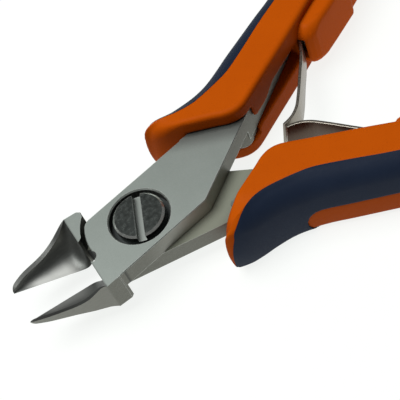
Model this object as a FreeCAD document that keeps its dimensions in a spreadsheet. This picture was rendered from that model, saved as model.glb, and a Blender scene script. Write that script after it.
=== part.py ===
"""Diagonal cutting pliers for fine electronics work, as a parametric assembly.

Every sub-part is drawn about the pivot axis with Z = 0 in the lap plane, where the two levers slide on
each other, +X from the pivot towards the handles and +Y towards the upper lever's handle. Placement
then lifts each one so that the frame's origin is on the pivot axis, at the joint's flat underside.
The jaws are drawn open, as the return springs hold them.
"""
import math
import os

import FreeCAD
import Part
import Sketcher

V = FreeCAD.Vector

DIMENSIONS = {
    # the lap joint and its screw
    "plate_thickness": 3.1,
    "lap_gap": 0.02,
    "joint_half_width": 6.0,
    "lever_skew": 9.8,
    "shank_angle": 35.8,
    "shank_corner_x": 9.62,
    "nose_radius": 8.9,
    "shoulder_radius": 9.55,
    "notch_radius": 0.75,
    "counterbore_radius": 4.92,
    "counterbore_depth": 1.7,
    "counterbore_chamfer": 0.22,
    "screw_head_radius": 4.15,
    "screw_head_rise": 0.45,
    "screw_head_chamfer": 0.3,
    "screw_slot_width": 1.3,
    "screw_slot_depth": 1.2,
    "screw_slot_angle": 67.6,
    "screw_journal_radius": 2.5,
    "screw_thread_radius": 2.2,
    "running_clearance": 0.05,
    "edge_bevel": 0.12,
    # the jaws
    "jaw_half_angle": 7.85,
    "jaw_rise_start_x": -9.33,
    "jaw_rise_slope": 0.247,
    "jaw_bevel_width": 0.65,
    "jaw_bevel_drop": 0.2,
    "jaw_lean": 0.25,
    # the tang inside the grip
    "tang_half_thickness": 1.9,
    # the grip
    "grip_half_thickness": 6.1,
    "grip_end_x": 123.0,
    "grip_edge_radius": 1.3,
    "channel_half_height": 2.05,
    "mouth_half_height": 3.3,
    "window_top": -0.3,
    "window_bottom": -4.7,
    "window_start_x": 20.6,
    "window_end_x": 92.0,
    # the return springs and their holders
    "holder_half_height": 4.4,
    "holder_rise": 3.1,
    "holder_length": 11.6,
    "holder_foot_depth": 1.5,
    "holder_angle": 27.0,
    "leaf_thickness": 0.5,
    "leaf_half_width": 1.9,
    "leaf_tip_x": 26.7,
    "leaf_tip_y": 0.36,
    "leaf_bend_radius": 9.7,
    "leaf_blade_angle": 53.5,
    "leaf_blade_length": 13.3,
    "leaf_slot_clearance": 0.2,
    "leaf_swing": 17.0,
    "eye_x": 39.8,
    "eye_y": 14.7,
    "eye_radius": 1.0,
    "spring_pin_radius": 0.5,
    "spring_pin_half_length": 3.7,
}

doc = FreeCAD.newDocument("cutting_pliers")
sheet = doc.addObject("Spreadsheet::Sheet", "Dimensions")
for row, (alias, number) in enumerate(DIMENSIONS.items(), start=1):
    sheet.set("A%d" % row, alias)
    sheet.set("B%d" % row, str(number))
    sheet.setAlias("B%d" % row, alias)
doc.recompute()


def size(alias):
    """The number that the sheet holds under an alias."""
    return float(sheet.get(alias))


def bind(item, prop, formula):
    """Tie a property to cells of the sheet; a word in braces is an alias."""
    item.setExpression(prop, formula.replace("{", "Dimensions.").replace("}", ""))


def along(angle):
    """Unit vector in plan at an angle from +X, in degrees."""
    return V(math.cos(math.radians(angle)), math.sin(math.radians(angle)), 0)


def sided(steps, side):
    """Steps of an outline drawn for the upper lever's handle, put on the wanted side of the X axis."""
    def flip(p):
        return V(p.x, side * p.y, 0)
    return [tuple(flip(p) for p in step) if isinstance(step, tuple) else flip(step) for step in steps]


def origin_plane(body, role):
    return [item for item in body.Origin.OriginFeatures if item.Role == role][0]


def new_sketch(body, name, height="0", plane="XY_Plane"):
    """A sketch on an origin plane of its body, lifted by a formula of the sheet's cells."""
    sketch = body.newObject("Sketcher::SketchObject", name)
    sketch.AttachmentSupport = (origin_plane(body, plane), "")
    sketch.MapMode = "FlatFace"
    if height != "0":
        bind(sketch, "AttachmentOffset.Base.z", height)
    return sketch


def draw(sketch, steps):
    """Close an outline from steps: a corner is a point, and a pair is (middle of an arc, its end)."""
    corners = [step[1] if isinstance(step, tuple) else step for step in steps]
    for number, step in enumerate(steps):
        start = corners[number - 1]
        if isinstance(step, tuple):
            edge = Part.Arc(start, step[0], step[1])
        else:
            edge = Part.LineSegment(start, step)
        sketch.addGeometry(edge, False)
    return sketch


def ring(sketch, radius_alias, centre=V(0, 0, 0)):
    """A circle whose radius is bound to the sheet."""
    index = sketch.addGeometry(Part.Circle(centre, V(0, 0, 1), size(radius_alias)), False)
    sketch.addConstraint(Sketcher.Constraint("Radius", index, size(radius_alias)))
    sketch.setExpression("Constraints[%d]" % (sketch.ConstraintCount - 1), "Dimensions." + radius_alias)
    if centre.Length == 0:
        sketch.addConstraint(Sketcher.Constraint("Coincident", index, 3, -1, 1))
    return sketch


def pad(body, name, sketch, length, down=False):
    feature = body.newObject("PartDesign::Pad", name)
    feature.Profile = sketch
    feature.Reversed = down
    bind(feature, "Length", length)
    doc.recompute()
    return feature


def pocket(body, name, sketch, length, up=False):
    """Cut downwards from the sketch, or upwards, and make sure that the cut took something away."""
    before = body.Shape.Volume
    feature = body.newObject("PartDesign::Pocket", name)
    feature.Profile = sketch
    feature.Reversed = up
    bind(feature, "Length", length)
    doc.recompute()
    if not feature.Shape.Volume < before - 1e-6:
        raise RuntimeError(name + " cuts nothing")
    return feature


def soften(body, name, radius, wanted, kind="PartDesign::Fillet"):
    """Round or bevel the edges of the body's last feature that the test picks."""
    base = body.Tip
    names = ["Edge%d" % (number + 1) for number, edge in enumerate(base.Shape.Edges) if wanted(edge)]
    if not names:
        raise RuntimeError(name + " finds no edges")
    feature = body.newObject(kind, name)
    feature.Base = (base, names)
    bind(feature, "Radius" if kind.endswith("Fillet") else "Size", radius)
    doc.recompute()
    return feature


def upright_at(points, reach=0.05):
    """A test for the vertical edges that stand over given points."""
    def test(edge):
        ends = [vertex.Point for vertex in edge.Vertexes]
        if len(ends) != 2 or abs(ends[0].z - ends[1].z) < 0.3:
            return False
        return any(math.hypot(end.x - p[0], end.y - p[1]) < reach for p in points for end in ends[:1]) \
            and math.hypot(ends[0].x - ends[1].x, ends[0].y - ends[1].y) < 0.01
    return test


def flat_at(height, test=lambda box: True):
    """A test for the edges that lie wholly at one height."""
    def wanted(edge):
        box = edge.BoundBox
        return abs(box.ZMin - height) < 1e-4 and abs(box.ZMax - height) < 1e-4 and test(box)
    return wanted


finished = []


def finish(item, label):
    """Give a sub-part its name and lift it from the lap plane to the frame's height."""
    item.Label = label
    bind(item, "Placement.Base.z", "{plate_thickness}")
    finished.append(item)


# ---------------------------------------------------------------- levers
def lever_lines():
    """Points of a lever's plan that follow from the joint's width and its two angles."""
    half_width = size("joint_half_width")
    run = along(size("lever_skew"))
    across = V(-run.y, run.x, 0)
    nose_radius = size("nose_radius")
    back = -math.sqrt(nose_radius ** 2 - half_width ** 2)
    nose_corner = across * half_width + run * back

    def on_edge(x, sign):
        point = across * (sign * half_width)
        return point + run * ((x - point.x) / run.x)

    shank_corner = on_edge(size("shank_corner_x"), -1)
    shank = along(size("shank_angle"))

    def on_shank(x):
        return shank_corner + shank * ((x - shank_corner.x) / shank.x)

    return nose_corner, on_edge, shank_corner, on_shank


def jaw_edge(x):
    """The cutting edge: radial in plan, and rising from the joint's underside towards the tip."""
    rise = (size("jaw_rise_start_x") - x) * size("jaw_rise_slope")
    return -x * math.tan(math.radians(size("jaw_half_angle"))), max(rise, 0) - size("plate_thickness")


# Along each jaw: x, half breadth of its outer wall, height of the ridge over the lap plane, how far the
# hollow grind has reached its full depth there, and how far the edge stands back from the radial line.
JAW_STATIONS = [
    (-9.9, 7.62, 3.1, 0.0, 0.74),
    (-10.7, 7.34, 2.95, 0.55, 0.15),
    (-11.7, 7.14, 2.35, 0.95, 0.0),
    (-13.0, 6.86, 1.6, 1.0, 0.0),
    (-15.0, 6.26, 1.0, 1.0, 0.0),
    (-17.5, 5.55, 0.92, 1.0, 0.0),
    (-20.0, 4.84, 1.05, 1.0, 0.0),
    (-21.2, 4.34, 0.98, 1.0, 0.0),
    (-22.0, 3.88, 0.78, 1.0, 0.0),
    (-22.4, 3.30, 0.40, 1.0, 0.0),
]
# The hollow grind's profile: share of the way out to the ridge, and share of the height up to it.
HOLLOW = [(0.86, 0.55), (0.66, 0.26), (0.35, 0.08)]
LEAN_LIMIT = 0.15          # share of the jaw's depth that its wall may lean by
BEVEL_LIMIT = 0.6          # share of the jaw's breadth that the ridge's bevel may take
LEAST_BEVEL = 0.05         # the loft needs a bevel at every station


def jaw_section(station, side):
    """One cross-section of a jaw: flat underside, leaning wall, narrow bevelled ridge and hollow grind."""
    x, breadth, ridge, grind, set_back = station
    edge_y, edge_z = jaw_edge(x)
    edge_y += set_back
    depth = ridge - edge_z
    lean = min(size("jaw_lean"), LEAN_LIMIT * depth) * grind
    bevel = LEAST_BEVEL + size("jaw_bevel_width") * grind
    crest_y = breadth - min(bevel, BEVEL_LIMIT * (breadth - edge_y))
    crest_z = ridge - size("jaw_bevel_drop") * grind
    corners = [
        V(x, side * edge_y, edge_z),
        V(x, side * (breadth - lean), edge_z),
        V(x, side * breadth, ridge),
        V(x, side * crest_y, crest_z),
    ]
    hollow = []
    for across_share, height_share in HOLLOW:
        full = edge_z + (crest_z - edge_z) * height_share
        flush = edge_z + depth * (0.15 + 0.85 * across_share)
        hollow.append(V(x, side * (edge_y + (crest_y - edge_y) * across_share), flush + (full - flush) * grind))
    curve = Part.BSplineCurve()
    curve.interpolate([corners[3]] + hollow + [corners[0]])
    edges = [Part.LineSegment(corners[n], corners[n + 1]).toShape() for n in range(3)]
    return Part.Wire(edges + [curve.toShape()])


def make_jaw(label, side):
    jaw = doc.addObject("Part::Feature", label)
    jaw.Shape = Part.makeLoft([jaw_section(station, side) for station in JAW_STATIONS], True, False)
    return jaw


def clear_of_jaw_and_grip(box):
    """Leaves out the corners beside the jaw's root, the stubs too short to bevel and the hidden rear."""
    return box.XMin > -9.0 and box.XMax < 24.9 and box.DiagonalLength > 0.4


def make_lever(label, side):
    """A forged lever: side +1 carries the upper half of the lap and the +Y handle."""
    upper = side > 0
    body = doc.addObject("PartDesign::Body", label + "_forging")
    nose_corner, on_edge, shank_corner, on_shank = lever_lines()
    thick = size("plate_thickness")
    nose_radius = size("nose_radius")

    # half-thickness plate round the pivot, with the relief notch beside the jaw's root
    plate = [
        on_edge(-9.9, -1), shank_corner, on_shank(25.0), V(25.0, 11.7, 0), on_edge(16.5, 1),
        nose_corner, (along(165.0) * nose_radius, along(184.0) * nose_radius),
        (V(-8.5, -1.35, 0), V(-9.05, -2.2, 0)), V(-9.5, -2.6, 0), V(-9.9, -6.0, 0),
    ]
    sketch = draw(new_sketch(body, "plate_outline", "{lap_gap}" if upper else "-{lap_gap}"), sided(plate, side))
    pad(body, "plate", sketch, "{plate_thickness} - {lap_gap}", down=not upper)

    # the full-thickness shoulder that carries the jaw
    shoulder_radius = size("shoulder_radius")
    shoulder = [
        V(-9.9, -2.2, 0), V(-9.45, -2.5, 0), along(196.5) * shoulder_radius,
        (along(208.0) * shoulder_radius, along(221.5) * shoulder_radius),
        V(-7.1, -7.1, 0), V(-7.55, -7.5, 0), V(-9.9, -7.62, 0),
    ]
    sketch = draw(new_sketch(body, "shoulder_outline", "-{plate_thickness}"), sided(shoulder, side))
    pad(body, "shoulder", sketch, "2 * {plate_thickness}")

    # the tongue where the tang takes up the full thickness, then the thinner tang inside the grip
    tongue = [
        V(12.3, 8.35, 0), (V(12.05, 8.1, 0), V(12.1, 7.8, 0)), (V(12.35, 7.45, 0), V(12.8, 7.25, 0)),
        V(15.6, 6.6, 0), V(19.8, 5.25, 0), (V(21.5, 4.55, 0), V(23.0, 5.5, 0)), V(25.0, 7.0, 0),
        V(25.0, 11.7, 0), V(17.5, 8.95, 0),
    ]
    sketch = draw(new_sketch(body, "tongue_outline", "-{plate_thickness}"), sided(tongue, side))
    pad(body, "tongue", sketch, "2 * {plate_thickness}")
    tang = [
        on_shank(22.0), on_shank(38.0), V(60.0, 26.3, 0), V(80.0, 31.2, 0), V(80.0, 33.6, 0),
        V(60.0, 28.6, 0), V(37.0, 18.0, 0), V(30.0, 14.2, 0), V(22.0, 10.4, 0),
    ]
    sketch = draw(new_sketch(body, "tang_outline", "-{tang_half_thickness}"), sided(tang, side))
    pad(body, "tang", sketch, "2 * {tang_half_thickness}")

    soften(body, "plate_corners", "{notch_radius} * 2.4", upright_at(sided([shank_corner, nose_corner], side)))
    soften(body, "plate_bevel", "{edge_bevel}", flat_at(thick, clear_of_jaw_and_grip), "PartDesign::Chamfer")

    # the bore for the screw, with its counterbore on the upper lever
    if upper:
        sketch = ring(new_sketch(body, "counterbore_outline", "{plate_thickness}"), "counterbore_radius")
        pocket(body, "counterbore", sketch, "{counterbore_depth}")
        sketch = ring(new_sketch(body, "journal_bore_outline", "{plate_thickness}"), "screw_journal_radius")
        bind(sketch, "Constraints[0]", "{screw_journal_radius} + {running_clearance}")
        pocket(body, "journal_bore", sketch, "{plate_thickness}")
        top_rim = flat_at(thick, lambda box: abs(box.XLength - 2 * size("counterbore_radius")) < 0.01)
        soften(body, "counterbore_bevel", "{counterbore_chamfer}", top_rim, "PartDesign::Chamfer")
    else:
        sketch = ring(new_sketch(body, "thread_outline", "-{lap_gap}"), "screw_thread_radius")
        pocket(body, "threaded_bore", sketch, "{plate_thickness}")

    jaw = make_jaw(label + "_jaw", -side)
    lever = doc.addObject("Part::MultiFuse", label)
    lever.Shapes = [body, jaw]
    lever.Refine = True
    doc.recompute()
    finish(lever, label)
    return lever


# ---------------------------------------------------------------- pivot screw
def make_screw():
    """Slotted pivot screw: a turned head, a plain journal and a thinner threaded end."""
    body = doc.addObject("PartDesign::Body", "pivot_screw")
    thick = size("plate_thickness")
    seat = thick - size("counterbore_depth") + size("lap_gap")
    top = thick + size("screw_head_rise")
    head = size("screw_head_radius")
    bevel = size("screw_head_chamfer")
    journal = size("screw_journal_radius")
    thread = size("screw_thread_radius")
    profile = [
        V(0, top, 0), V(0, -thick, 0), V(thread - 0.3, -thick, 0), V(thread, -thick + 0.3, 0),
        V(thread, 0, 0), V(journal, 0, 0), V(journal, seat, 0), V(head, seat, 0),
        V(head, top - bevel, 0), V(head - bevel, top, 0),
    ]
    sketch = draw(new_sketch(body, "screw_profile", plane="XZ_Plane"), profile)
    turned = body.newObject("PartDesign::Revolution", "turned_screw")
    turned.Profile = sketch
    turned.ReferenceAxis = (sketch, ["V_Axis"])
    turned.Angle = 360
    doc.recompute()
    width = size("screw_slot_width") / 2
    run = along(size("screw_slot_angle"))
    across = V(-run.y, run.x, 0)
    reach = head + 1.0
    slot = [run * reach + across * width, run * -reach + across * width,
            run * -reach - across * width, run * reach - across * width]
    sketch = draw(new_sketch(body, "slot_outline", "{plate_thickness} + {screw_head_rise}"), slot)
    pocket(body, "slot", sketch, "{screw_slot_depth}")
    finish(body, "pivot_screw")


# ---------------------------------------------------------------- grips
INNER_FACE = [V(21.3, 5.1, 0), V(24.6, 5.95, 0), V(39.0, 14.2, 0)]
INNER_REAR = (V(80.0, 28.9, 0), V(118.0, 30.8, 0))
OUTER_REAR = (V(80.0, 38.0, 0), V(38.0, 22.7, 0))
OUTER_REAR_END = V(118.0, 41.2, 0)
SEAM_FRONT = [V(24.0, 12.0, 0), V(36.0, 18.6, 0)]
SEAM_REAR_END = V(117.0, 38.6, 0)
SEAM_REAR_MIDDLE = V(80.0, 35.0, 0)


def make_grip_core(label, side):
    """Hard grip body: the tang's socket, the open channel behind the mouth and the window's land."""
    body = doc.addObject("PartDesign::Body", label)
    end_x = size("grip_end_x")
    outline = [
        V(8.6, 12.3, 0), (V(9.0, 10.9, 0), V(10.4, 10.1, 0)), (V(14.6, 8.0, 0), V(17.9, 6.0, 0)),
        (V(19.4, 5.3, 0), INNER_FACE[0]), INNER_FACE[1], INNER_FACE[2], INNER_REAR,
        (V(end_x, 36.0, 0), SEAM_REAR_END + V(1.6, 0.6, 0)), SEAM_REAR_END,
        (SEAM_REAR_MIDDLE, SEAM_FRONT[1]), SEAM_FRONT[0], (V(17.5, 10.35, 0), V(12.2, 11.9, 0)),
    ]
    sketch = draw(new_sketch(body, "core_outline", "-{grip_half_thickness}"), sided(outline, side))
    pad(body, "core", sketch, "2 * {grip_half_thickness}")
    half = size("grip_half_thickness")

    def inner_rim(edge):
        box = edge.BoundBox
        level = abs(abs(box.ZMin) - half) < 1e-4 and abs(box.ZLength) < 1e-4
        middle = edge.valueAt((edge.FirstParameter + edge.LastParameter) / 2)
        inner = [(INNER_FACE[0] + INNER_FACE[1]) / 2, (INNER_FACE[1] + INNER_FACE[2]) / 2, INNER_REAR[0]]
        return level and any(math.hypot(middle.x - p.x, abs(middle.y) - p.y) < 1.5 for p in inner)

    soften(body, "core_edges", "{grip_edge_radius}", inner_rim)

    # land that fills the pad's window, on the outer face below the lap plane
    start_x = size("window_start_x")
    stop_x = size("window_end_x")
    land = [
        V(start_x, 10.9, 0), V(24.0, 11.9, 0), V(36.0, 18.5, 0), (V(66.0, 31.3, 0), V(stop_x, 36.4, 0)),
        V(stop_x, 39.2, 0), (V(66.0, 34.2, 0), V(38.0, 22.1, 0)), V(24.5, 15.2, 0), V(start_x, 13.9, 0),
    ]
    sketch = draw(new_sketch(body, "land_outline", "{window_bottom}"), sided(land, side))
    pad(body, "land", sketch, "{window_top} - {window_bottom}")

    # mouth and socket for the tang, open along the inner face as far as the spring holder
    mouth = [
        V(6.0, 7.85, 0), V(6.0, 2.0, 0), V(21.5, 2.0, 0), V(25.3, 6.0, 0), V(25.3, 12.0, 0),
        V(17.3, 9.25, 0), V(12.0, 8.6, 0),
    ]
    sketch = draw(new_sketch(body, "mouth_outline", "{mouth_half_height}"), sided(mouth, side))
    pocket(body, "mouth", sketch, "2 * {mouth_half_height}")
    channel = [V(22.0, 4.0, 0), V(38.3, 12.6, 0), V(38.3, 16.0, 0), V(24.0, 9.0, 0)]
    sketch = draw(new_sketch(body, "channel_outline", "{channel_half_height}"), sided(channel, side))
    pocket(body, "channel", sketch, "2 * {channel_half_height}")
    socket = [
        V(24.0, 5.8, 0), V(38.1, 15.95, 0), V(60.0, 26.2, 0), V(80.2, 31.1, 0), V(80.2, 33.7, 0),
        V(60.0, 28.7, 0), V(37.0, 18.1, 0), V(30.0, 14.3, 0), V(24.0, 11.4, 0),
    ]
    sketch = draw(new_sketch(body, "socket_outline", "{tang_half_thickness}"), sided(socket, side))
    pocket(body, "socket", sketch, "2 * {tang_half_thickness}")
    sketch = draw(new_sketch(body, "holder_seat_outline", "{holder_half_height}"),
                  sided(holder_outline(seat=True), side))
    pocket(body, "holder_seat", sketch, "2 * {holder_half_height}")
    finish(body, label)


def make_grip_pad(label, side):
    """Soft outer pad, moulded over the core, with a long window in its outer face."""
    body = doc.addObject("PartDesign::Body", label)
    outline = [
        V(12.2, 11.95, 0), (V(17.5, 10.4, 0), SEAM_FRONT[0] + V(0, 0.05, 0)),
        SEAM_FRONT[1] + V(0, 0.05, 0), (SEAM_REAR_MIDDLE + V(0, 0.05, 0), SEAM_REAR_END + V(0, 0.05, 0)),
        V(118.6, 39.25, 0), (V(118.9, 40.4, 0), OUTER_REAR_END), OUTER_REAR, V(24.0, 15.75, 0),
        (V(17.5, 13.4, 0), V(11.6, 13.9, 0)), (V(9.3, 13.7, 0), V(8.6, 12.35, 0)),
    ]
    sketch = draw(new_sketch(body, "pad_outline", "-{grip_half_thickness}"), sided(outline, side))
    pad(body, "pad", sketch, "2 * {grip_half_thickness}")
    start_x = size("window_start_x")
    stop_x = size("window_end_x")
    window = [
        V(start_x - 0.02, 10.0, 0), V(24.0, 11.0, 0), V(36.0, 17.6, 0), V(66.0, 29.0, 0),
        V(stop_x + 0.02, 35.5, 0), V(stop_x + 0.02, 44.0, 0), V(38.0, 30.0, 0), V(start_x - 0.02, 20.0, 0),
    ]
    sketch = draw(new_sketch(body, "window_outline", "{window_top}"), sided(window, side))
    pocket(body, "window", sketch, "{window_top} - {window_bottom}")
    finish(body, label)


# ---------------------------------------------------------------- return springs
def holder_frame():
    """Start point, run and inward direction of a spring holder on the grip's inner face."""
    run = along(size("holder_angle"))
    return V(39.0, 14.2, 0), run, V(run.y, -run.x, 0)


def holder_outline(seat=False):
    """Plan of a spring holder; its seat in the grip is the part below the inner face."""
    start, run, inward = holder_frame()
    length = size("holder_length")
    rise = size("holder_rise")
    foot = size("holder_foot_depth")

    def at(u, v):
        return start + run * u + inward * v

    tail = length + 9.0
    shallow = foot / 3
    if seat:
        return [at(-1.4, -foot), at(-1.4, rise), at(tail, rise), at(tail, -shallow),
                at(4.0, -shallow), at(4.0, -foot)]
    return [
        at(-1.4, -foot), at(-1.4, rise - 0.9), at(-0.5, rise), at(length - 0.4, rise),
        at(length, rise - 0.3), at(length + 0.25, rise - 0.9), at(tail - 2.0, rise - 1.3),
        at(tail, rise - 2.6), at(tail, -shallow), at(4.0, -shallow), at(4.0, -foot),
    ]


def make_holder(label, side):
    """Spring holder: a stepped block with a socket and a flared mouth for the leaf spring's eye."""
    body = doc.addObject("PartDesign::Body", label)
    sketch = draw(new_sketch(body, "holder_outline", "-{holder_half_height}"), sided(holder_outline(), side))
    pad(body, "holder", sketch, "2 * {holder_half_height}")
    eye = V(size("eye_x"), size("eye_y"), 0)
    clearance = size("leaf_slot_clearance")
    open_run = along(size("leaf_blade_angle") + 180.0)
    shut_run = along(size("leaf_blade_angle") - size("leaf_swing") + 180.0)
    lip = size("leaf_thickness") / 2 + clearance
    open_side = V(-open_run.y, open_run.x, 0) * lip
    shut_side = V(shut_run.y, -shut_run.x, 0) * lip
    reach = 7.0
    mouth = [eye + open_side, eye + open_side + open_run * reach, eye + shut_side + shut_run * reach,
             eye + shut_side]
    slot_top = "{leaf_half_width} + {leaf_slot_clearance}"
    sketch = draw(new_sketch(body, "slot_outline", slot_top), sided(mouth, side))
    pocket(body, "leaf_slot", sketch, "2 * (%s)" % slot_top)
    sketch = ring(new_sketch(body, "socket_outline", slot_top), "eye_radius", V(eye.x, side * eye.y, 0))
    bind(sketch, "Constraints[0]", "{eye_radius} + {leaf_slot_clearance}")
    pocket(body, "eye_socket", sketch, "2 * (%s)" % slot_top)
    sketch = new_sketch(body, "pin_outline", "{spring_pin_half_length}")
    ring(sketch, "spring_pin_radius", V(eye.x, side * eye.y, 0))
    pocket(body, "pin_bore", sketch, "2 * {spring_pin_half_length}")
    finish(body, label)


def make_leaf(label, side):
    """Leaf spring: a rolled eye, a straight blade and a curled tip that bears on its twin."""
    body = doc.addObject("PartDesign::Body", label)
    eye = V(size("eye_x"), size("eye_y"), 0)
    tip = V(size("leaf_tip_x"), size("leaf_tip_y"), 0)
    bend = size("leaf_bend_radius")
    half = size("leaf_thickness") / 2
    blade = along(size("leaf_blade_angle"))
    left = V(-blade.y, blade.x, 0)
    knee = eye - blade * size("leaf_blade_length")
    centre = knee + left * bend
    tip_run = tip - centre
    tip_angle = math.degrees(math.atan2(tip_run.y, tip_run.x))
    knee_angle = size("leaf_blade_angle") - 90.0
    middle_angle = (tip_angle + knee_angle) / 2
    root = eye - blade * 0.8
    outline = [
        root + left * half, knee + left * half,
        (centre + along(middle_angle) * (bend - half), centre + along(tip_angle) * (bend - half)),
        centre + along(tip_angle) * (bend + half),
        (centre + along(middle_angle) * (bend + half), knee - left * half), root - left * half,
    ]
    sketch = draw(new_sketch(body, "blade_outline", "-{leaf_half_width}"), sided(outline, side))
    pad(body, "blade", sketch, "2 * {leaf_half_width}")
    sketch = new_sketch(body, "eye_outline", "-{leaf_half_width}")
    ring(sketch, "eye_radius", V(eye.x, side * eye.y, 0))
    pad(body, "eye", sketch, "2 * {leaf_half_width}")
    sketch = new_sketch(body, "eye_bore_outline", "{leaf_half_width}")
    ring(sketch, "spring_pin_radius", V(eye.x, side * eye.y, 0))
    bind(sketch, "Constraints[0]", "{spring_pin_radius} + {running_clearance}")
    pocket(body, "eye_bore", sketch, "2 * {leaf_half_width}")
    finish(body, label)


def make_spring_pin(label, side):
    """Dowel through the leaf spring's eye, pressed into the holder at both ends."""
    pin = doc.addObject("Part::Cylinder", label)
    bind(pin, "Radius", "{spring_pin_radius}")
    bind(pin, "Height", "2 * {spring_pin_half_length}")
    pin.Placement = FreeCAD.Placement(V(size("eye_x"), side * size("eye_y"), 0), FreeCAD.Rotation())
    pin.Label = label
    bind(pin, "Placement.Base.z", "{plate_thickness} - {spring_pin_half_length}")
    finished.append(pin)


make_screw()
for name, side in (("upper", 1), ("lower", -1)):
    make_lever(name + "_lever", side)
    make_grip_core(name + "_grip_core", side)
    make_grip_pad(name + "_grip_pad", side)
    make_holder(name + "_spring_holder", side)
    make_leaf(name + "_leaf_spring", side)
    make_spring_pin(name + "_spring_pin", side)
doc.recompute()

for item in doc.Objects:
    if "Invalid" in item.State or "Error" in item.State:
        raise RuntimeError("%s did not build: %s" % (item.Label, item.State))
os.makedirs("parts", exist_ok=True)
for item in finished:
    shape = item.Shape
    if shape.isNull() or not shape.isValid():
        raise RuntimeError(item.Label + " has no valid shape")
    print("%-22s solids %d  volume %9.2f" % (item.Label, len(shape.Solids), shape.Volume))
    shape.exportStep("parts/%s.step" % item.Label)
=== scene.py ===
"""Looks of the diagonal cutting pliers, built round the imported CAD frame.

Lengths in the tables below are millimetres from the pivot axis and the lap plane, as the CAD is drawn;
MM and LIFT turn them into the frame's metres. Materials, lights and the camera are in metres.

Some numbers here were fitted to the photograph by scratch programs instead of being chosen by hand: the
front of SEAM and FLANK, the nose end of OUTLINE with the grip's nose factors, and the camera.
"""
import math

import bpy
import numpy as np
from mathutils import Matrix, Vector


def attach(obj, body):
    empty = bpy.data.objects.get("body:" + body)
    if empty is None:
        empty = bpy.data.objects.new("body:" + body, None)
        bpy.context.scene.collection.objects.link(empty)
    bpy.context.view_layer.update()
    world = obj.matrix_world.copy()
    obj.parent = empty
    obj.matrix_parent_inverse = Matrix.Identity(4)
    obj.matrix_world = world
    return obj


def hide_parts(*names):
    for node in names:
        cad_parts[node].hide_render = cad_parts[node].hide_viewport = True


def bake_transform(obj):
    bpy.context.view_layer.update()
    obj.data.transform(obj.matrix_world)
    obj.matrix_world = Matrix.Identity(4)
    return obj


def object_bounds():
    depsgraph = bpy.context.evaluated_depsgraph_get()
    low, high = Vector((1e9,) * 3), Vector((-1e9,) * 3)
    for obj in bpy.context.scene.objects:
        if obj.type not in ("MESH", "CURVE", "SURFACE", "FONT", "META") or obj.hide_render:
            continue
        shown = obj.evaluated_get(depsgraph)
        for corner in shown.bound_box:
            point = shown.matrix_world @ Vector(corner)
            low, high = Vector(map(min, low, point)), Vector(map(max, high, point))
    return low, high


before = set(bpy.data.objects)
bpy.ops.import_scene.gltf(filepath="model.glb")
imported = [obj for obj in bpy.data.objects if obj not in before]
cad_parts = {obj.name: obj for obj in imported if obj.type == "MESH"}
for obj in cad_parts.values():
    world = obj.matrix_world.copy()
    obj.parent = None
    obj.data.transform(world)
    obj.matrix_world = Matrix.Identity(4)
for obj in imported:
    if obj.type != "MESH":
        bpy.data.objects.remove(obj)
CAD_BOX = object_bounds()

MM = 0.001
LIFT = 0.0031               # height of the lap plane over the frame's origin
SIDES = (("upper", 1), ("lower", -1))
NUDGE = 0.01                # step of the numeric slopes
HOLD = 0.12                 # how firmly a vertex is held at the middle of its cell's crossings
SHARP_ANGLE = math.radians(50.0)


# ---------------------------------------------------------------- signed distances
def smooth(low, high, value):
    t = np.clip((value - low) / (high - low), 0.0, 1.0)
    return t * t * (3 - 2 * t)


def direction(degrees):
    """Unit plan vector at an angle from the x axis."""
    return np.array([math.cos(math.radians(degrees)), math.sin(math.radians(degrees))])


def left_of(way):
    return np.array([-way[1], way[0]])


def both(a, b, radius):
    """Inside both shapes, with the edge between them rounded to a radius."""
    inner = np.minimum(np.maximum(a, b), -radius)
    return inner + np.hypot(np.maximum(a + radius, 0), np.maximum(b + radius, 0))


def curve_through(points, closed=True, steps=5):
    """Catmull-Rom points through a list of plan points."""
    pts = np.array(points, float)
    count = len(pts)
    out = []
    for n in range(count if closed else count - 1):
        if closed:
            p = [pts[(n + k) % count] for k in (-1, 0, 1, 2)]
        else:
            p = [pts[min(max(n + k, 0), count - 1)] for k in (-1, 0, 1, 2)]
        for k in range(steps):
            t = k / steps
            out.append(0.5 * (2 * p[1] + (p[2] - p[0]) * t + (2 * p[0] - 5 * p[1] + 4 * p[2] - p[3]) * t ** 2
                              + (3 * p[1] - p[0] - 3 * p[2] + p[3]) * t ** 3))
    if not closed:
        out.append(pts[-1])
    return np.array(out)


def outline(points):
    """Signed plan distance to a closed polygon, negative inside."""
    pts = np.array(points, float)
    ends = np.roll(pts, -1, axis=0)

    def distance(x, y):
        x, y = np.broadcast_arrays(x, y)
        best = np.full(x.shape, 1e9)
        inside = np.zeros(x.shape, bool)
        for (ax, ay), (bx, by) in zip(pts, ends):
            dx, dy = bx - ax, by - ay
            px, py = x - ax, y - ay
            t = np.clip((px * dx + py * dy) / (dx * dx + dy * dy), 0, 1)
            best = np.minimum(best, (px - t * dx) ** 2 + (py - t * dy) ** 2)
            if dy != 0:
                crosses = (ay > y) != (by > y)
                inside ^= crosses & (px < (py * dx) / dy)
        return np.where(inside, -1, 1) * np.sqrt(best)
    return distance


def slope_at(field, points):
    """Unit slope of a field at each point, by central differences."""
    slope = np.stack([field(*(points + NUDGE * step).T) - field(*(points - NUDGE * step).T)
                      for step in np.eye(3)], 1)
    return slope / np.maximum(np.linalg.norm(slope, axis=1, keepdims=True), 1e-12)


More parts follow.
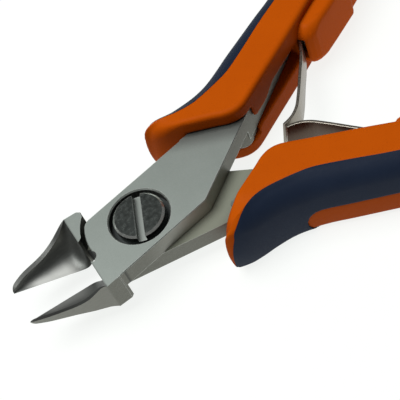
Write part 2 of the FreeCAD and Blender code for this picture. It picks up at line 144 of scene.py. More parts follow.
def crossings(field, axes, value, axis):
    """Inner grid edges along one axis that the surface cuts: their place in the grid, and the cut points."""
    inside = value < 0
    near = [slice(None)] * 3
    far = [slice(None)] * 3
    near[axis] = slice(0, -1)
    far[axis] = slice(1, None)
    index = np.argwhere(inside[tuple(near)] != inside[tuple(far)])
    keep = np.ones(len(index), bool)
    for other in range(3):
        if other != axis:
            keep &= (index[:, other] > 0) & (index[:, other] < len(axes[other]) - 1)
    index = index[keep]
    ahead = index.copy()
    ahead[:, axis] += 1
    a = value[tuple(index.T)]
    b = value[tuple(ahead.T)]
    place = [axes[k][index[:, k]].astype(float) for k in range(3)]
    low = axes[axis][index[:, axis]]
    high = axes[axis][ahead[:, axis]]
    place[axis] = low + a / (a - b) * (high - low)
    here = field(*place)
    same = np.sign(here) == np.sign(a)
    low = np.where(same, place[axis], low)
    high = np.where(same, high, place[axis])
    a = np.where(same, here, a)
    b = np.where(same, b, here)
    place[axis] = low + np.clip(a / np.where(a == b, 1, a - b), 0, 1) * (high - low)
    return index, np.stack(place, 1)


def cells_round(index, axis, cells):
    """The four cells round each grid edge, in order."""
    first, second = [k for k in range(3) if k != axis]
    around = []
    for step in ((-1, -1), (0, -1), (0, 0), (-1, 0)):
        cell = index.copy()
        cell[:, first] += step[0]
        cell[:, second] += step[1]
        around.append(np.ravel_multi_index(cell.T, cells))
    return np.stack(around, 1)


def cell_vertices(cell_of, points, slopes, count):
    """One vertex for each cell, where the tangent planes at its cut points come closest to meeting."""
    total = np.zeros(count)
    middle = np.zeros((count, 3))
    for which in cell_of.T:
        total += np.bincount(which, minlength=count)
        for k in range(3):
            middle[:, k] += np.bincount(which, points[:, k], count)
    middle /= total[:, None]
    pull = np.zeros((count, 3))
    square = np.zeros((count, 3, 3))
    for which in cell_of.T:
        offset = np.sum(slopes * (points - middle[which]), axis=1)
        for k in range(3):
            pull[:, k] += np.bincount(which, slopes[:, k] * offset, count)
            for m in range(3):
                square[:, k, m] += np.bincount(which, slopes[:, k] * slopes[:, m], count)
    square += HOLD * np.eye(3)
    return middle + np.linalg.solve(square, pull[:, :, None])[:, :, 0]


def skin(field, xs, ys, zs):
    """Dual contouring: vertices and quads of the surface where field(x, y, z) is zero."""
    axes = (xs, ys, zs)
    value = np.broadcast_to(field(xs[:, None, None], ys[None, :, None], zs[None, None, :]),
                            (len(xs), len(ys), len(zs)))
    cells = np.array([len(a) - 1 for a in axes])
    joined, points, turned = [], [], []
    for axis in range(3):
        index, place = crossings(field, axes, value, axis)
        joined.append(cells_round(index, axis, cells))
        points.append(place)
        starts_inside = value[tuple(index.T)] < 0
        turned.append(starts_inside if axis == 1 else ~starts_inside)
    joined = np.concatenate(joined)
    points = np.concatenate(points)
    turned = np.concatenate(turned)
    used, cell_of = np.unique(joined, return_inverse=True)
    cell_of = cell_of.reshape(joined.shape)
    vertices = cell_vertices(cell_of, points, slope_at(field, points), len(used))
    corner_of = np.stack(np.unravel_index(used, cells), 1)
    for k in range(3):
        low, high = axes[k][corner_of[:, k]], axes[k][corner_of[:, k] + 1]
        vertices[:, k] = np.clip(vertices[:, k], low, high)
    return vertices, np.where(turned[:, None], cell_of[:, ::-1], cell_of)


def mesh_piece(name, points, faces, side):
    """A Blender object in the row frame from points in millimetres about the lap plane."""
    placed = np.array(points, float) * MM
    placed[:, 1] *= side
    placed[:, 2] += LIFT
    if side < 0:
        faces = [tuple(reversed(face)) for face in faces]
    mesh = bpy.data.meshes.new(name)
    mesh.from_pydata(placed.tolist(), [], [tuple(int(n) for n in face) for face in faces])
    mesh.validate()
    mesh.update()
    for polygon in mesh.polygons:
        polygon.use_smooth = True
    mesh.set_sharp_from_angle(angle=SHARP_ANGLE)
    piece = bpy.data.objects.new(name, mesh)
    bpy.context.scene.collection.objects.link(piece)
    return piece


# ---------------------------------------------------------------- grips
HALF = 6.04                 # half height of a grip
# Plan of a whole grip. Its nose, x under 10, was fitted to the photograph's silhouette by an automatic
# search. From there to x 46 it was drawn over points back-projected from the photograph, and behind that it
# is a guess.
OUTLINE = [
    (8.45, 12.0), (8.95, 11.25), (9.55, 10.65), (10.6, 9.95), (12.3, 9.1), (14.2, 8.05), (16.4, 6.95),
    (18.2, 6.05), (19.8, 5.2), (21.4, 4.8), (23.0, 5.0), (24.6, 5.75), (27.0, 7.1), (31.0, 9.3),
    (35.0, 11.5), (39.0, 13.8), (46.0, 17.7), (60.0, 23.6), (80.0, 28.9), (100.0, 31.2), (112.0, 31.2),
    (118.0, 31.0), (121.6, 32.6), (123.0, 36.0), (121.6, 39.6), (118.4, 41.0), (108.0, 41.0), (94.0, 40.3),
    (80.0, 38.2), (60.0, 33.2), (48.0, 27.8), (38.0, 22.8), (34.3, 21.1), (30.4, 19.2), (26.5, 17.3),
    (23.5, 15.8), (20.2, 14.5), (17.6, 13.9), (14.4, 13.75), (12.2, 13.9), (10.6, 13.95), (8.8, 13.6),
    (7.9, 12.85),
]
# Border between core and pad. From x 9 to 36 a scratch program cast the photograph's seam onto the grip.
SEAM = [
    (4.0, 15.8), (7.0, 14.5), (8.3, 13.93), (9.23, 13.5), (10.6, 12.9), (12.05, 12.05), (13.5, 11.3),
    (15.3, 10.85), (17.4, 10.78), (20.0, 11.2), (22.6, 11.8), (25.0, 12.6), (29.4, 14.95), (35.7, 18.45),
    (46.0, 23.3), (60.0, 28.6), (80.0, 34.6), (100.0, 37.6), (117.0, 38.6), (118.6, 39.3), (119.0, 41.0),
    (119.4, 46.0),
]
# Where the flat inner part of a grip turns into its rounded outer part: another fit of the seam.
FLANK = [
    (4.0, 12.7), (8.2, 12.8), (9.6, 12.85), (10.8, 12.5), (13.5, 11.15), (17.4, 10.62), (22.6, 11.75),
    (29.4, 14.95), (46.0, 23.3), (60.0, 28.6), (80.0, 34.6), (100.0, 37.6), (124.0, 39.2),
]
BEYOND = 60.0               # a y outside the grips, where the regions outward of SEAM and FLANK are closed
# Opening round the lever's tang, and the groove that runs from it along the inner face to the holder.
MOUTH = [
    (2.0, 6.6), (2.0, 0.0), (20.6, 0.0), (24.3, 5.0), (24.3, 11.6), (17.3, 9.05), (12.2, 8.3), (11.6, 8.2),
]
CHANNEL = [(20.0, 2.0), (38.3, 12.0), (38.3, 16.0), (24.0, 9.5), (20.0, 7.0)]
MOUTH_HALF = 3.3            # half heights of the two openings
CHANNEL_HALF = 2.05
LIP = 1.4                   # how far the channel's upper wall comes down at its front end
SEAM_DRAW = 0.18            # how far the seam draws inward down the nose, for each millimetre under its top
SEAM_DRAW_TOP = 2.9         # z where that begins. Both were worked out from the scratch program's points.
PAD_BED = 0.3               # how deep the core goes under the pad
PAD_SKIN = 0.04             # how far the pad stands over the grip's body
PAD_NEAR, SKIN_NEAR = 0.2, 0.25         # points this near to both surfaces are the pad's border
SEAM_REACH = 0.4            # the furthest that one step moves a border point
TRIM_STEPS = 4

# Edge radii of a grip above and below: at its inner face, and what its outer face and its nose add.
OVER_INNER, OVER_OUTER, OVER_NOSE = 0.9, 2.1, 2.8
UNDER_INNER, UNDER_OUTER, UNDER_NOSE = 0.7, 0.8, 1.8
OVER_AHEAD = 0.7            # more of OVER_OUTER ahead of x 26
NOSE_BACK, NOSE_TIP = 14.0, 7.8         # x where the nose begins, and its end
NOSE_LOSS = 0.75            # share of the outer radius that the nose loses
BELLY, NOSE_BELLY = 0.6, 1.1            # how far the outer face draws in with z, and the nose's extra share
NOSE_PUSH, NOSE_TILT = 0.25, 0.95       # how far the nose is moved forward, and its inner side's lean with z

LEAF_HALF_WIDTH = 1.9
LEAF_SLOT = LEAF_HALF_WIDTH + 0.2       # half height of the openings that the leaf swings in
EYE = np.array([39.8, 14.7])            # middle of a leaf's eye and of its pin
BLADE_ANGLE = 53.5          # the blade's direction from the x axis, in degrees
BLADE_ANGLE_CLOSED = 36.5   # the same at the closed stop, with 3 degrees of room
LEAF_ROOM = 0.45            # from the blade's middle to the wall of its opening
LEAF_GAP_LENGTH = 8.0       # how far the opening reaches from the eye

STRIP_START = 20.4
STRIP_END = 92.0
STRIP_MIDDLE = -3.0
STRIP_RADIUS = 2.75
STRIP_RECESS = 0.16         # how deep the orange strip lies under the grip's body
STRIP_GAP = 0.04            # between the strip and the pad's window
GRIP_SLANT = 0.88           # x for each millimetre along a grip


def outer_side(line):
    """Signed distance to the region outward of a line that runs from nose to rear."""
    return outline(list(line) + [(line[-1][0], BEYOND), (line[0][0], BEYOND)])


plan = outline(curve_through(OUTLINE, steps=3))
pad_plan = outer_side(curve_through(SEAM, closed=False, steps=3))
flank = outer_side(FLANK)
mouth_plan = outline(MOUTH)
channel_plan = outline(CHANNEL)


def leaf_sector():
    """Corners of the mouth that the leaf swings in, between the blade's two extreme directions."""
    sides = []
    for degrees, sign in ((BLADE_ANGLE, 1), (BLADE_ANGLE_CLOSED, -1)):
        way = -direction(degrees)
        across = sign * left_of(way) * LEAF_ROOM
        sides.append((EYE + across - way, EYE + across + way * LEAF_GAP_LENGTH))
    (a, b), (c, d) = sides
    return [a, b, d, c]


LEAF_GAP = leaf_sector()
leaf_gap = outline(LEAF_GAP)


def pad_side(x, y, z):
    """The pad's side of its seam, which draws inward down the nose."""
    drawn = SEAM_DRAW * smooth(12.5, 8.6, x) * np.maximum(SEAM_DRAW_TOP - z, 0)
    return pad_plan(x, y + drawn)


def grip_body(x, y, z):
    """Whole grip: flat-sided towards the inner face, full and rounded towards the outer face and nose."""
    outward = -flank(x, y)
    outer = smooth(-2.5, 1.0, outward)
    nose = smooth(NOSE_BACK, NOSE_TIP, x)
    front = nose * (1 - smooth(-1.0, 1.0, outward))
    full = OVER_OUTER + OVER_AHEAD * smooth(26.0, 20.0, x)
    over = OVER_INNER + full * outer * (1 - NOSE_LOSS * nose) + OVER_NOSE * front
    under = UNDER_INNER + UNDER_OUTER * outer + UNDER_NOSE * front
    radius = under + (over - under) * smooth(-2.5, 2.5, z)
    belly = BELLY * outer * (z / HALF) ** 2 * (1 + NOSE_BELLY * nose)
    inner = 1 - smooth(10.3, 14.4, y)
    forward = nose * (NOSE_PUSH - NOSE_TILT * inner * z / HALF)
    return both(plan(x + forward, y) + belly, np.abs(z) - HALF, radius)


def strip(x, z):
    """The long window with rounded ends in the pad's outer face, as a distance in side view."""
    ahead = (STRIP_START - x) / GRIP_SLANT + STRIP_RADIUS
    behind = (x - STRIP_END) / GRIP_SLANT + STRIP_RADIUS
    return np.hypot(np.maximum(np.maximum(ahead, behind), 0), z - STRIP_MIDDLE) - STRIP_RADIUS


def core_field(x, y, z):
    """Core: the body let in under the pad, with the strip as a land, less the openings."""
    body = grip_body(x, y, z)
    side = pad_side(x, y, z)
    under_pad = body + PAD_BED * smooth(0.0, 0.35, -side)
    land = np.maximum(np.maximum(body + STRIP_RECESS, strip(x, z) + STRIP_GAP), side)
    height = np.abs(z)
    lip = LIP * smooth(30.5, 27.0, x) * (z > 0)
    mouth = both(mouth_plan(x, y), height - MOUTH_HALF, 0.2)
    channel = both(channel_plan(x, y), height - CHANNEL_HALF + lip, 0.2)
    kept = both(-mouth, -channel, 0.8)
    kept = np.maximum(kept, -np.maximum(leaf_gap(x, y), height - LEAF_SLOT))
    return np.minimum(both(under_pad, kept, 0.35), land)


def pad_skin(x, y, z):
    return grip_body(x, y, z) - PAD_SKIN


def pad_field(x, y, z):
    return both(np.maximum(pad_skin(x, y, z), pad_side(x, y, z)), -strip(x, z), 0.2)


def slide(points, field):
    """Move the points that lie near a surface onto it, down the field's slope."""
    value = field(*points.T)
    return points - np.where(np.abs(value) < SEAM_REACH, value, 0)[:, None] * slope_at(field, points)


def trim_seam(points):
    """Bring the pad's border to where its seam meets its skin."""
    border = (np.abs(pad_side(*points.T)) < PAD_NEAR) & (np.abs(pad_skin(*points.T)) < SKIN_NEAR)
    moved = points[border]
    for _ in range(TRIM_STEPS):
        moved = slide(moved, pad_side)
        moved = slide(moved, pad_skin)
    trimmed = points.copy()
    trimmed[border] = moved
    return trimmed


def grid(start, fine_end, end):
    """Grid lines that are close where the photograph looks and wider behind."""
    front = np.arange(start, fine_end, FINE)
    rear = np.arange(front[-1] + COARSE, end + COARSE, COARSE)
    return np.concatenate([front, rear])


FINE, COARSE = 0.26, 0.8
xs = grid(6.9, 54.0, 124.0)
ys = np.arange(4.2, 42.2, FINE)
zs = np.linspace(-6.45, 6.45, 50)
core_mesh = skin(core_field, xs, ys, zs)
pad_points, pad_faces = skin(pad_field, xs, ys, zs)
pad_mesh = (trim_seam(pad_points), pad_faces)


# ---------------------------------------------------------------- spring holders
HOLDER_START = np.array([39.0, 14.2])
HOLDER_ANGLE = 27.0         # of the handle's inner face under the holder, in degrees
HOLDER_HALF = 4.4           # half height
HOLDER_STEP = 0.2
# Side of a holder: along the handle, and out of its inner face.
HOLDER = [
    (-1.4, -3.0), (-1.4, 1.4), (-1.2, 2.1), (-0.6, 2.75), (0.3, 3.05), (5.0, 3.1), (11.1, 3.05),
    (11.6, 2.8), (11.8, 2.3), (15.0, 2.1), (18.4, 1.8), (20.4, 0.6), (20.8, -3.0),
]
run = direction(HOLDER_ANGLE)
inward = -left_of(run)
holder_plan = outline(HOLDER)


def holder_place(u, v):
    """Plan point of a holder's own coordinates."""
    return [HOLDER_START[k] + run[k] * u + inward[k] * v for k in (0, 1)]


def holder_coordinates(point):
    offset = point - HOLDER_START
    return np.dot(offset, run), np.dot(offset, inward)


slot_plan = outline([holder_coordinates(p) for p in LEAF_GAP])


def holder_field(u, v, z):
    radius = 0.95 + 1.3 * smooth(2.5, -1.0, u)
    block = both(holder_plan(u, v), np.abs(z) - HOLDER_HALF, radius)
    slot = np.maximum(slot_plan(u, v), np.abs(z) - LEAF_SLOT)
    return both(block, -slot, 0.18)


us = np.arange(-2.1, 21.6, HOLDER_STEP)
vs = np.arange(-3.3, 4.1, HOLDER_STEP)
ws = np.linspace(-4.75, 4.75, 49)
flat_points, flat_faces = skin(holder_field, us, vs, ws)
px, py = holder_place(flat_points[:, 0], flat_points[:, 1])
holder_mesh = (np.stack([px, py, flat_points[:, 2]], 1), flat_faces[:, ::-1])


# ---------------------------------------------------------------- leaf springs
EYE_RADIUS = 0.75           # from the eye's middle to the middle of the rolled strip
LEAF_HALF_THICK = 0.25
LEAF_CORNER = 0.09          # radius of the strip's corners
TIP_SLANT = 0.9             # how much further the tip reaches at its lower edge
TIP_DROP = 0.35             # how far the lower edge of the free end hangs below the CAD leaf's


def leaf_path():
    """Centre line of a leaf in plan: rolled eye, straight blade, curled tip."""
    blade = direction(BLADE_ANGLE)
    left = left_of(blade)
    path = [EYE + EYE_RADIUS * (math.cos(a) * left + math.sin(a) * blade) for a in np.linspace(5.3, 0.0, 20)]
    knots = [EYE + left * EYE_RADIUS - blade * 1.0, EYE + left * 0.25 - blade * 3.2, EYE - blade * 6.0,
             EYE - blade * 9.0, EYE - blade * 12.2, (31.35, 3.35), (30.3, 2.1), (29.1, 1.15),
             (27.9, 0.62), (26.75, 0.36)]
    return path + [tuple(p) for p in curve_through(knots, closed=False, steps=6)]


def leaf_mesh():
    """The leaf's strip swept along its path, as points and faces."""
    section = []
    for cy, cz, start in ((1, 1, 0), (-1, 1, 90), (-1, -1, 180), (1, -1, 270)):
        for k in range(4):
            a = math.radians(start + 30 * k)
            section.append((cy * (LEAF_HALF_THICK - LEAF_CORNER) + LEAF_CORNER * math.cos(a),
                            cz * (LEAF_HALF_WIDTH - LEAF_CORNER) + LEAF_CORNER * math.sin(a)))
    path = np.array(leaf_path())
    ahead = np.gradient(path, axis=0)
    ahead /= np.linalg.norm(ahead, axis=1, keepdims=True)
    across = np.stack([-ahead[:, 1], ahead[:, 0]], 1)
    points, faces = [], []
    count = len(section)
    for p, n in zip(path, across):
        cut = TIP_SLANT * smooth(30.5, path[-1][0], p[0]) / (2 * LEAF_HALF_WIDTH)
        drop = TIP_DROP * smooth(34.5, 31.5, p[0])
        points += [(p[0] + n[0] * s - cut * (LEAF_HALF_WIDTH - z), p[1] + n[1] * s, z - drop * (z < 0))
                   for s, z in section]
    for row in range(len(path) - 1):
        for k in range(count):
            a, b = row * count + k, row * count + (k + 1) % count
            faces.append((a, b, b + count, a + count))
    faces.append(tuple(reversed(range(count))))
    faces.append(tuple(range((len(path) - 1) * count, len(path) * count)))
    return points, faces


# ---------------------------------------------------------------- materials
class Nodes:
    """Shorthand for building a procedural material."""

    def __init__(self, name):
        self.material = bpy.data.materials.new(name)
        self.material.use_nodes = True
        self.tree = self.material.node_tree
        self.tree.nodes.clear()
        self.shader = self.add("ShaderNodeBsdfPrincipled")
        out = self.add("ShaderNodeOutputMaterial")
        self.link(self.shader.outputs["BSDF"], out.inputs["Surface"])
        self.place = self.add("ShaderNodeTexCoord").outputs["Object"]
        self.normal = self.add("ShaderNodeNewGeometry").outputs["Normal"]

    def add(self, kind, **settings):
        node = self.tree.nodes.new(kind)
        for key, value in settings.items():
            setattr(node, key, value)
        return node

    def link(self, a, b):
        self.tree.links.new(a, b)

    def feed(self, socket, value):
        if isinstance(value, bpy.types.NodeSocket):
            self.link(value, socket)
        else:
            socket.default_value = value

    def set(self, **values):
        for key, value in values.items():
            self.feed(self.shader.inputs[key.replace("_", " ")], value)

    def noise(self, scale, detail=2.0, roughness=0.5, stretch=(1, 1, 1), turn=0.0):
        mapping = self.add("ShaderNodeMapping")
        self.link(self.place, mapping.inputs["Vector"])
        mapping.inputs["Scale"].default_value = stretch
        mapping.inputs["Rotation"].default_value = (0, 0, turn)
        node = self.add("ShaderNodeTexNoise")
        self.link(mapping.outputs["Vector"], node.inputs["Vector"])
        node.inputs["Scale"].default_value = scale
        node.inputs["Detail"].default_value = detail
        node.inputs["Roughness"].default_value = roughness
        return node.outputs["Fac"]

    def math(self, operation, a, b=0.0, c=0.0):
        node = self.add("ShaderNodeMath", operation=operation)
        for socket, value in zip(node.inputs, (a, b, c)):
            self.feed(socket, value)
        return node.outputs[0]

    def times(self, *values):
        """The product of two or more values."""
        product = values[0]
        for value in values[1:]:
            product = self.math("MULTIPLY", product, value)
        return product

    def span(self, value, low, high, out_low=0.0, out_high=1.0):
        node = self.add("ShaderNodeMapRange", interpolation_type="SMOOTHSTEP")
        for key, number in (("Value", value), ("From Min", low), ("From Max", high),
                            ("To Min", out_low), ("To Max", out_high)):
            self.feed(node.inputs[key], number)
        return node.outputs[0]

    def mix(self, share, a, b):
        node = self.add("ShaderNodeMix", data_type="RGBA")
        self.feed(node.inputs[0], share)
        for socket, value in ((node.inputs[6], a), (node.inputs[7], b)):
            if isinstance(value, tuple) and len(value) == 3:
                value = value + (1.0,)
            self.feed(socket, value)
        return node.outputs[2]

    def axis(self, vector, name):
        node = self.add("ShaderNodeSeparateXYZ")
        self.link(vector, node.inputs[0])
        return node.outputs[name]

    def bump(self, height, distance, strength=1.0, base=None):
        node = self.add("ShaderNodeBump")
        node.inputs["Strength"].default_value = strength
        self.feed(node.inputs["Distance"], distance)
        self.link(height, node.inputs["Height"])
        if base is not None:
            self.link(base, node.inputs["Normal"])
        return node.outputs["Normal"]

    def edges(self, radius):
        """One where the surface turns within a radius, and zero on broad faces."""
        bevel = self.add("ShaderNodeBevel", samples=6)
        bevel.inputs["Radius"].default_value = radius
        dot = self.add("ShaderNodeVectorMath", operation="DOT_PRODUCT")
        self.link(bevel.outputs[0], dot.inputs[0])
        self.link(self.normal, dot.inputs[1])
        return self.span(dot.outputs["Value"], 0.999, 0.93)


def jaw_ground(n, x, y, up):
    """Colour of a ground jaw: a brushed flank, and a darker hollow that takes in the upper jaw's tip; that
    darker tone, chosen by which way the surface faces, is painted shade.
    """
    brushed = n.noise(5000.0, 3.0, 0.6, (0.06, 1.0, 1.0), 0.25)
    flank_tone = n.mix(brushed, (0.17, 0.172, 0.150), (0.25, 0.252, 0.225))
    hollow_shade_tone = n.mix(brushed, (0.070, 0.074, 0.070), (0.125, 0.130, 0.122))
    tipward = n.times(n.span(x, -0.0150, -0.0210), n.span(y, -0.0002, 0.0002))
    # painted shade: the up-facing hollow and the upper jaw's tip take the darker tone
    return n.mix(n.math("MAXIMUM", n.span(up, 0.15, 0.4), tipward), flank_tone, hollow_shade_tone)


def jaw_lines(n, x, y, up):
    """Shares of a jaw's painted shade along its crest and of its painted highlight near the cutting edge,
    from its edge line and its breadth.
    """
    off_edge = n.math("ADD", n.math("ABSOLUTE", y), n.times(x, 0.138))
    breadth = n.math("MULTIPLY_ADD", x, 0.46, 0.01118)
    inset = n.math("SUBTRACT", breadth, off_edge)
    # painted shade: a dark band along the jaw's crest
    ridge_shade = n.times(n.span(inset, 0.0010, 0.0007), n.span(up, 0.6, 0.8))
    # painted highlight: the hollow brightens towards the cutting edge
    across = n.span(off_edge, n.times(breadth, 0.62), n.times(breadth, 0.1))
    jaw_highlight = n.times(across, n.span(up, 0.1, 0.4), n.span(x, -0.0112, -0.0140), n.span(x, -0.0212, -0.0180),
                    n.span(y, -0.0002, 0.0002, 0.40, 1.0))
    return ridge_shade, jaw_highlight


def lever_steel():
    """Bead-blasted forging with streaked upright sides darkened as painted shade, painted highlights on its
    edges, and ground jaws with painted shade and highlights.
    """
    n = Nodes("bead_blasted_steel")
    x, y, z = [n.axis(n.place, name) for name in "XYZ"]
    up = n.axis(n.normal, "Z")
    face = n.span(n.math("ABSOLUTE", up), 0.35, 0.85)
    cloud = n.noise(180.0, 3.0, 0.6)
    grain = n.noise(9000.0, 2.0, 0.7)

    # blasted faces; upright sides darker as painted shade, the upper lever's walls lighter as painted light;
    # painted highlights on the edges
    top = n.mix(cloud, (0.222, 0.253, 0.231), (0.266, 0.298, 0.276))
    # painted shade: upright sides take a darker copy of the steel than the tops
    side = n.mix(n.noise(900.0, 3.0, 0.6, (1, 1, 6)), (0.115, 0.115, 0.095), (0.175, 0.175, 0.15))
    # painted light: the upper lever's walls take a lighter copy of the side colour
    upper_wall_light = n.times(n.span(z, LIFT, LIFT + 0.0004), n.span(x, -0.004, 0.008), n.span(x, 0.0175, 0.0110))
    side = n.mix(upper_wall_light, side, n.mix(cloud, (0.36, 0.365, 0.33), (0.45, 0.455, 0.415)))
    colour = n.mix(face, side, top)
    colour = n.mix(n.times(n.span(grain, 0.35, 0.7), 0.25), colour, (0.44, 0.47, 0.44))
    # painted highlight: bright lines where the surface turns at the edges
    edge_highlight = n.times(n.edges(0.00012), n.span(x, -0.0088, -0.0070))
    colour = n.mix(n.times(edge_highlight, 0.7), colour, (0.75, 0.78, 0.74))

    # jaws: ground finish, with painted shade on the hollow and along the crest, and a painted highlight near
    # the cutting edge
    jaw = n.span(x, -0.0096, -0.0101)
    ridge_shade, jaw_highlight = jaw_lines(n, x, y, up)
    colour = n.mix(n.times(jaw, 0.9), colour, jaw_ground(n, x, y, up))
    colour = n.mix(n.times(jaw, ridge_shade), colour, (0.080, 0.083, 0.078))
    colour = n.mix(n.times(jaw, jaw_highlight), colour, (0.62, 0.63, 0.60))

    # shade in the screw's bore and at the jaws' root
    out = n.math("SQRT", n.math("ADD", n.times(x, x), n.times(y, y)))
    bore = n.span(out, 0.00495, 0.0049)
    root = n.times(n.span(out, 0.0099, 0.0097), n.span(x, -0.0060, -0.0068))
    shaded = n.math("MAXIMUM", bore, n.times(root, n.math("SUBTRACT", 1.0, face)))
    colour = n.mix(n.times(shaded, 0.85), colour, (0.012, 0.014, 0.016))

    # milled lap faces, less metallic; their darker tone is partly painted shade from the upper lever and the
    # grips
    drop = n.math("ABSOLUTE", n.math("SUBTRACT", z, LIFT))
    milled_and_shaded = n.times(face, n.math("LESS_THAN", drop, 0.0002), n.math("SUBTRACT", 1.0, jaw))
    colour = n.mix(milled_and_shaded, colour, n.mix(cloud, (0.19, 0.205, 0.155), (0.225, 0.24, 0.185)))

    # shade beside the grips, by the distance from the line of their noses
    from_grip = n.math("MULTIPLY_ADD", x, -0.486, 0.0146)
    from_grip = n.math("MULTIPLY_ADD", n.math("ABSOLUTE", y), -0.874, from_grip)
    near_grip = n.times(face, n.span(from_grip, 0.0044, 0.0008))
    colour = n.mix(n.times(near_grip, 0.6), colour, (0.03, 0.03, 0.028))

    metal = n.span(milled_and_shaded, 0.0, 1.0, 0.85, 0.25)
    rough = n.span(grain, 0.2, 0.8, 0.46, 0.60)
    rough = n.math("ADD", rough, n.times(jaw, -0.03))
    rough = n.math("ADD", rough, n.times(edge_highlight, -0.12))
    bump = n.bump(grain, n.span(jaw, 0.0, 1.0, 0.000012, 0.000002), 0.25)
    n.set(Base_Color=colour, Roughness=rough, Metallic=metal, Normal=bump)
    return n.material


def screw_steel():
    """Polished head: dark where it mirrors the room, with painted highlights at its chamfer and edges, and
    bright on the slot's floor.
    """
    n = Nodes("polished_steel")
    turned = n.noise(1500.0, 3.0, 0.6)
    fine = n.noise(9000.0, 2.0, 0.6)
    colour = n.mix(turned, (0.10, 0.115, 0.108), (0.15, 0.165, 0.155))
    lifted = n.axis(n.normal, "Z")
    # painted highlight on the chamfer
    chamfer = n.times(n.span(lifted, 0.3, 0.5), n.span(lifted, 0.95, 0.85))
    colour = n.mix(chamfer, colour, (0.85, 0.88, 0.84))
    floor_of_slot = n.times(n.span(lifted, 0.8, 0.9),
                            n.span(n.axis(n.place, "Z"), LIFT + 0.0032, LIFT + 0.0028))
    colour = n.mix(floor_of_slot, colour, (0.27, 0.295, 0.275))
    # painted highlight on the edges
    edge_highlight = n.edges(0.00012)
    colour = n.mix(n.times(edge_highlight, 0.6), colour, (0.82, 0.84, 0.80))
    rough = n.math("ADD", n.span(turned, 0.2, 0.8, 0.20, 0.30), n.times(floor_of_slot, 0.25))
    n.set(Base_Color=colour, Roughness=rough, Metallic=1.0, Normal=n.bump(fine, 0.000004, 0.15))
    return n.material


def orange_plastic(name, side_shade):
    """Smooth hard plastic; side_shade is how much of the colour is left on upright walls."""
    n = Nodes(name)
    patch = n.noise(140.0, 3.0, 0.6)
    grain = n.noise(3800.0, 2.0, 0.6)
    colour = n.mix(patch, (0.48, 0.076, 0.0008), (0.55, 0.092, 0.0012))
    colour = n.mix(n.times(n.span(grain, 0.55, 0.8), 0.3), colour, (0.32, 0.05, 0.001))
    upright = n.span(n.axis(n.normal, "Z"), 0.93, 0.25)
    colour = n.mix(n.times(upright, 1 - side_shade), colour, (0.03, 0.0, 0.0))
    rough = n.span(grain, 0.2, 0.8, 0.40, 0.56)
    n.set(Base_Color=colour, Roughness=rough, IOR=1.10, Normal=n.bump(grain, 0.00003, 0.35))
    return n.material


def navy_rubber():
    """Soft grained rubber with a faint sheen."""
    n = Nodes("navy_rubber")
    patch = n.noise(160.0, 3.0, 0.6)
    grain = n.noise(4200.0, 3.0, 0.7)
    colour = n.mix(patch, (0.007, 0.013, 0.030), (0.011, 0.020, 0.042))
    colour = n.mix(n.times(n.span(grain, 0.6, 0.8), 0.35), colour, (0.035, 0.046, 0.072))
    rough = n.span(grain, 0.2, 0.8, 0.52, 0.70)
    n.set(Base_Color=colour, Roughness=rough, IOR=1.22, Normal=n.bump(grain, 0.00004, 0.4))
    return n.material


def spring_steel():
    """Rolled strip, with painted shade where it faces its grip and painted highlights on its edges."""
    n = Nodes("spring_steel")
    rolled = n.noise(2400.0, 3.0, 0.6, (1.0, 1.0, 0.08))
    colour = n.mix(rolled, (0.22, 0.20, 0.165), (0.33, 0.305, 0.26))
    # painted shade on the faces turned towards the grip
    to_grip = n.times(n.axis(n.normal, "Y"), n.math("SIGN", n.axis(n.place, "Y")))
    colour = n.mix(n.span(to_grip, 0.25, 0.6, 0.0, 0.85), colour, (0.055, 0.030, 0.018))
    # painted highlight on the edges
    edge_highlight = n.edges(0.00008)
    colour = n.mix(n.times(edge_highlight, 0.5), colour, (0.75, 0.74, 0.68))
    rough = n.span(rolled, 0.2, 0.8, 0.24, 0.38)
    n.set(Base_Color=colour, Roughness=rough, Metallic=1.0, Normal=n.bump(rolled, 0.00001, 0.4))
    return n.material


def pin_steel():
    """Plain drawn pin."""
    n = Nodes("pin_steel")
    grain = n.noise(4000.0, 2.0, 0.6)
    colour = n.mix(grain, (0.35, 0.35, 0.34), (0.5, 0.5, 0.48))
    n.set(Base_Color=colour, Roughness=n.span(grain, 0.2, 0.8, 0.25, 0.4), Metallic=1.0)
    return n.material


def floor_paper():
    """White studio paper that glows a little, so that shadows stay pale."""
    n = Nodes("studio_paper")
    fibre = n.noise(700.0, 4.0, 0.6)
    colour = n.mix(fibre, (0.97, 0.99, 0.97), (0.985, 1.0, 0.985))
    n.set(Base_Color=n.mix(0.84, colour, (0.0, 0.0, 0.0)), Roughness=0.9, Normal=n.bump(fibre, 0.00002, 0.2))
    n.set(Emission_Color=colour, Emission_Strength=0.86)
    return n.material


STEEL = lever_steel()
SCREW = screw_steel()
NAVY = navy_rubber()
SPRING = spring_steel()
PIN = pin_steel()
ORANGE = orange_plastic("orange_plastic", 0.66)
HOLDER_ORANGE = orange_plastic("orange_plastic_holder", 1.0)


def paint(piece, material):
    piece.data.materials.clear()
    piece.data.materials.append(material)


def paint_node(name, material):
    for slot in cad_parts[name].material_slots:
        slot.link = "OBJECT"
        slot.material = material


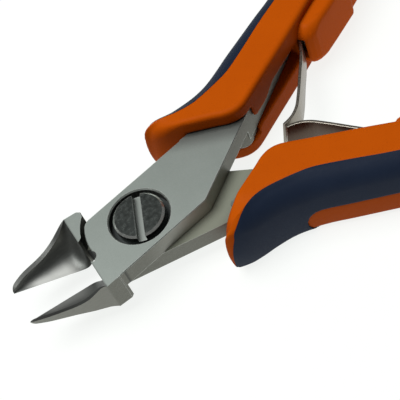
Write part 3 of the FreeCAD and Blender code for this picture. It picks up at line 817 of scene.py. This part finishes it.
paint_node("pivot_screw", SCREW)
for name, side in SIDES:
    arm, leaf_body = name + "_arm", name + "_leaf"
    paint_node(name + "_lever", STEEL)
    paint_node(name + "_spring_pin", PIN)
    for part, mesh, material, slot in (
            ("grip_core", core_mesh, ORANGE, "orange_plastic"),
            ("grip_pad", pad_mesh, NAVY, "navy_rubber"),
            ("spring_holder", holder_mesh, HOLDER_ORANGE, "orange_plastic")):
        piece = mesh_piece("%s_%s_moulding" % (name, part), mesh[0], mesh[1], side)
        paint(piece, material)
        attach(piece, arm)
        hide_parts("%s_%s" % (name, part))
    leaf_points, leaf_faces = leaf_mesh()
    leaf = mesh_piece(name + "_leaf_blade", leaf_points, leaf_faces, side)
    paint(leaf, SPRING)
    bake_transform(leaf)
    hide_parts(name + "_leaf_spring")


# ---------------------------------------------------------------- stage, light and camera
FLOOR_HALF = 2.0
WORLD_STRENGTH = 0.12
lowest = CAD_BOX[0][2]
corners = [(x * FLOOR_HALF, y * FLOOR_HALF, lowest) for x, y in ((-1, -1), (1, -1), (1, 1), (-1, 1))]
floor_mesh = bpy.data.meshes.new("studio_floor")
floor_mesh.from_pydata(corners, [], [(0, 1, 2, 3)])
floor = bpy.data.objects.new("studio_floor", floor_mesh)
bpy.context.scene.collection.objects.link(floor)
paint(floor, floor_paper())

world = bpy.data.worlds.new("studio")
bpy.context.scene.world = world
world.use_nodes = True
background = world.node_tree.nodes["Background"]
background.inputs["Color"].default_value = (1.0, 1.0, 0.99, 1)
background.inputs["Strength"].default_value = WORLD_STRENGTH
bpy.context.scene.view_settings.view_transform = "Standard"


def softbox(name, azimuth, elevation, distance, size, power):
    """A square area light aimed at the joint from a direction given in degrees."""
    a, e = math.radians(azimuth), math.radians(elevation)
    place = Vector((math.cos(a) * math.cos(e), math.sin(a) * math.cos(e), math.sin(e))) * distance
    data = bpy.data.lights.new(name, "AREA")
    data.shape = "SQUARE"
    data.size = size
    data.energy = power
    lamp = bpy.data.objects.new(name, data)
    lamp.location = place
    lamp.rotation_euler = (-place).to_track_quat("-Z", "Y").to_euler()
    bpy.context.scene.collection.objects.link(lamp)


softbox("key", azimuth=150, elevation=74, distance=1.0, size=0.7, power=10.2)

# The photograph's camera, aimed from the joint. A least-squares fit worked these out from points picked on
# the photograph. Angles are in radians, FOCAL and SENSOR_WIDTH in millimetres.
AZIMUTH, ELEVATION, ROLL = -0.16, 0.91219, -0.45795
DISTANCE = 0.16969922
AIM_RIGHT, AIM_UP = -0.00844603, -0.00414082
FOCAL, SENSOR_WIDTH = 99.0, 36.0
back = Vector((math.sin(AZIMUTH) * math.cos(ELEVATION), -math.cos(AZIMUTH) * math.cos(ELEVATION),
               math.sin(ELEVATION)))
level = Vector((math.cos(AZIMUTH), math.sin(AZIMUTH), 0))
above = level.cross(-back)
right = math.cos(ROLL) * level + math.sin(ROLL) * above
up = -math.sin(ROLL) * level + math.cos(ROLL) * above
matrix = Matrix((right, up, back)).transposed().to_4x4()
matrix.translation = back * DISTANCE - right * AIM_RIGHT - up * AIM_UP + Vector((0, 0, LIFT))
camera_data = bpy.data.cameras.new("camera")
camera_data.lens = FOCAL
camera_data.sensor_width = SENSOR_WIDTH
camera = bpy.data.objects.new("camera", camera_data)
bpy.context.scene.collection.objects.link(camera)
camera.matrix_world = matrix
bpy.context.scene.camera = camera
